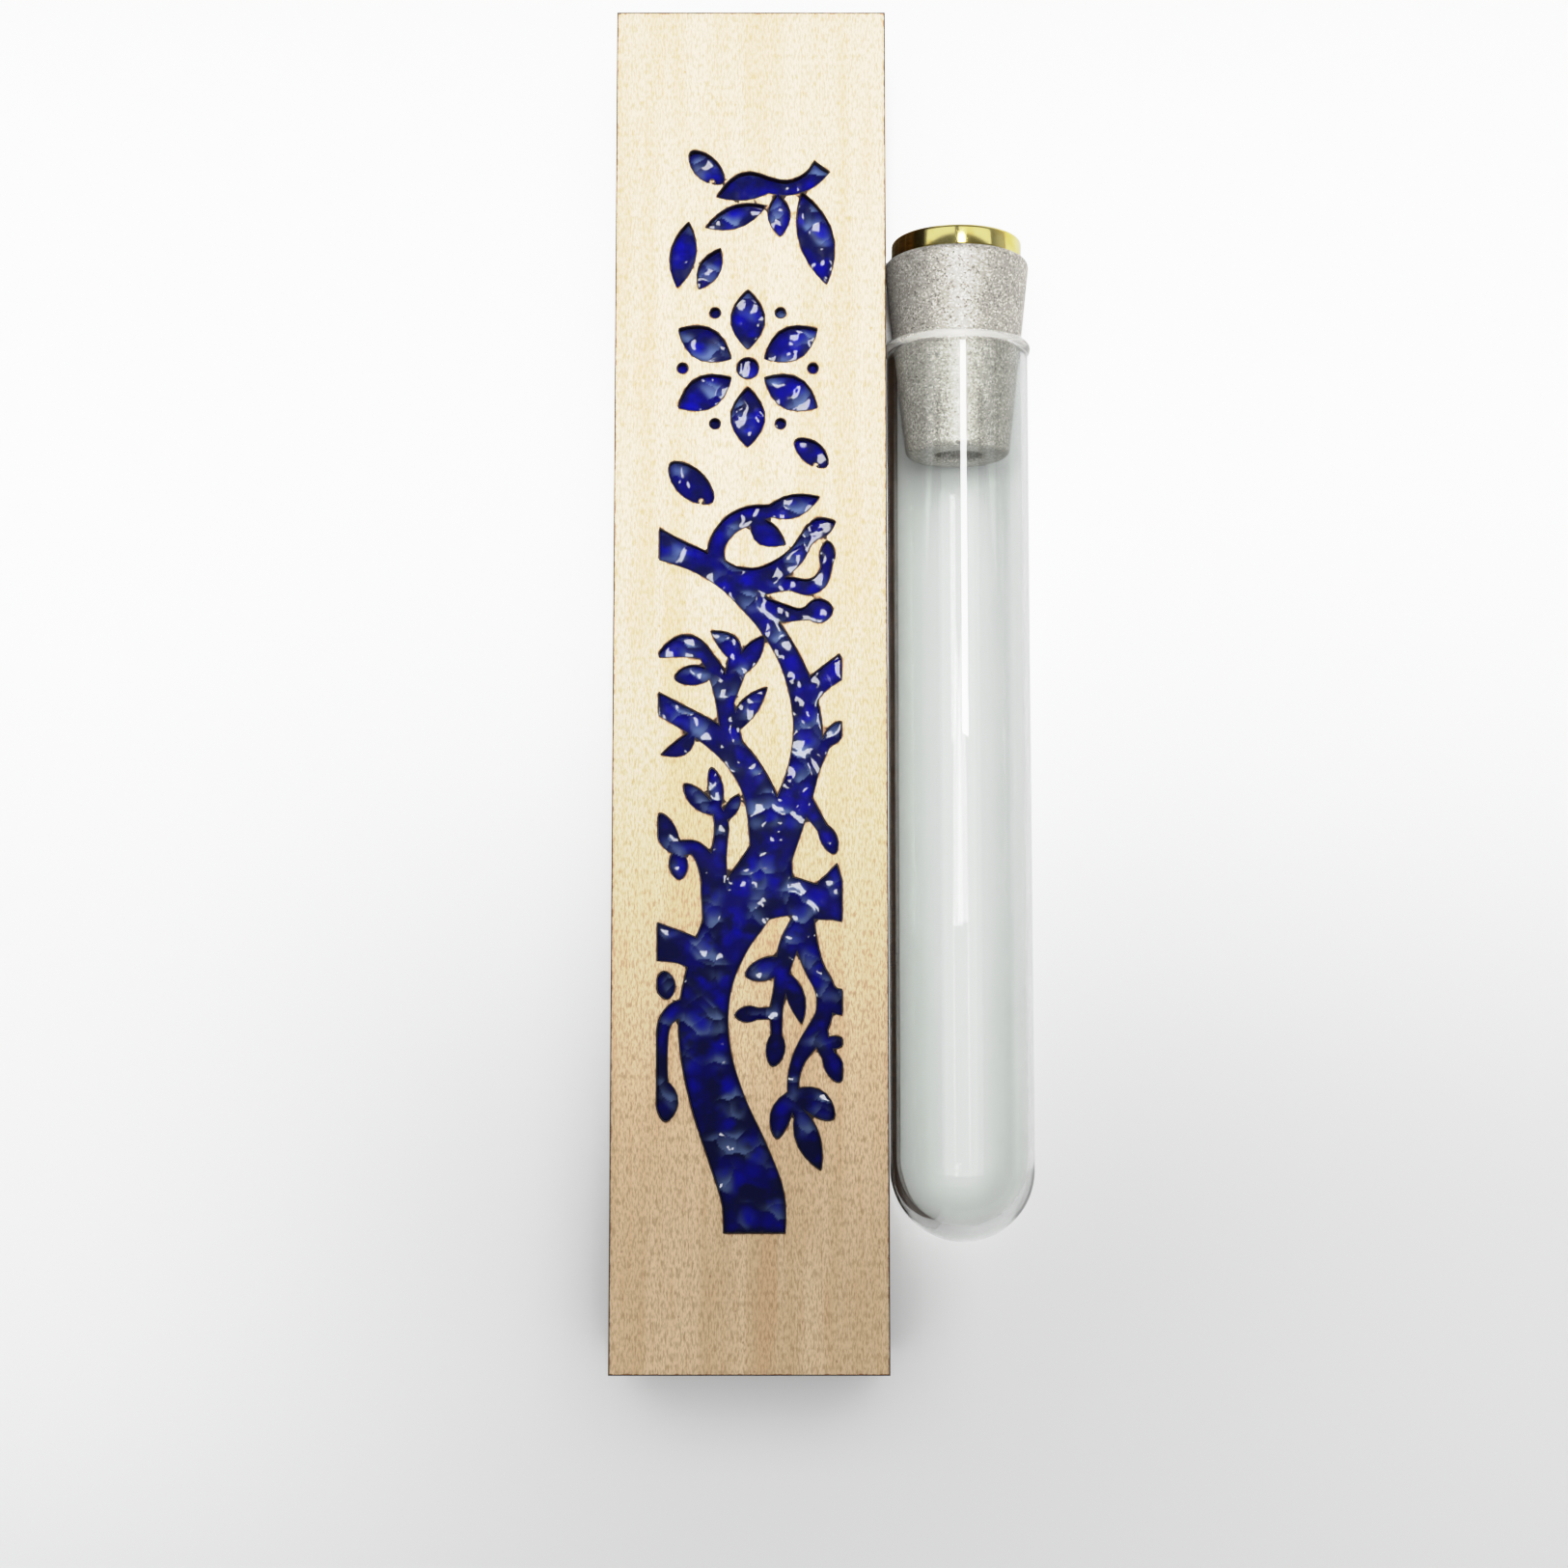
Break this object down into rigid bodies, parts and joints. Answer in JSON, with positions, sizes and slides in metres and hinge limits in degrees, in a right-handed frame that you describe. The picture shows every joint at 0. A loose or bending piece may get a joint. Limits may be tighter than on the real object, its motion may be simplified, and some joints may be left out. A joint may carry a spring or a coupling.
{
  "type": "mezuzah case",
  "caption": "Flat laminated wooden mezuzah case with a tree inlaid in blue glass, a sliding wall plate over its scroll chamber, and a stoppered glass tube.",
  "frame": {"origin": "centre of the case's back face, where it meets the doorpost", "axes": "+Z out of the carved front, +Y towards the case's top end, +X to its right as seen from the front"},
  "size_m": [0.0468, 0.15, 0.017],
  "materials": {
    "maple_face": "sanded",
    "plywood": "laser-cut, burnt edges",
    "blue_glass": "glossy glass pieces under clear resin",
    "parchment": "matt parchment",
    "clear_glass": "clear blown glass",
    "silver_paint": "silver sparkle paint on cork",
    "gilt_metal": "polished gilt"
  },
  "bodies": {
    "case": {"front_panel": "maple_face", "blue_inlay": "blue_glass", "backing_board": "plywood", "chamber_frame_1": "plywood", "chamber_frame_2": "plywood", "chamber_frame_3": "plywood", "chamber_frame_4": "plywood", "slide_track": "plywood", "back_lip": "plywood", "parchment_scroll": "parchment"},
    "wall_plate": {"plate_tongue": "plywood", "plate_foot": "plywood"},
    "tube": {"glass_tube": "clear_glass"},
    "stopper": {"stopper": "silver_paint", "gold_cap": "gilt_metal"}
  },
  "joints": [
    {"name": "wall_plate_slide", "type": "slide", "parent": "case", "child": "wall_plate", "axis": [0, -1, 0], "range_m": [0, 0.145]},
    {"name": "tube_lift", "type": "slide", "parent": "case", "child": "tube", "axis": [0, 0, 1], "range_m": [0, 0.06]},
    {"name": "stopper_pull", "type": "slide", "parent": "tube", "child": "stopper", "axis": [0, 1, 0], "range_m": [0, 0.03]}
  ]
}
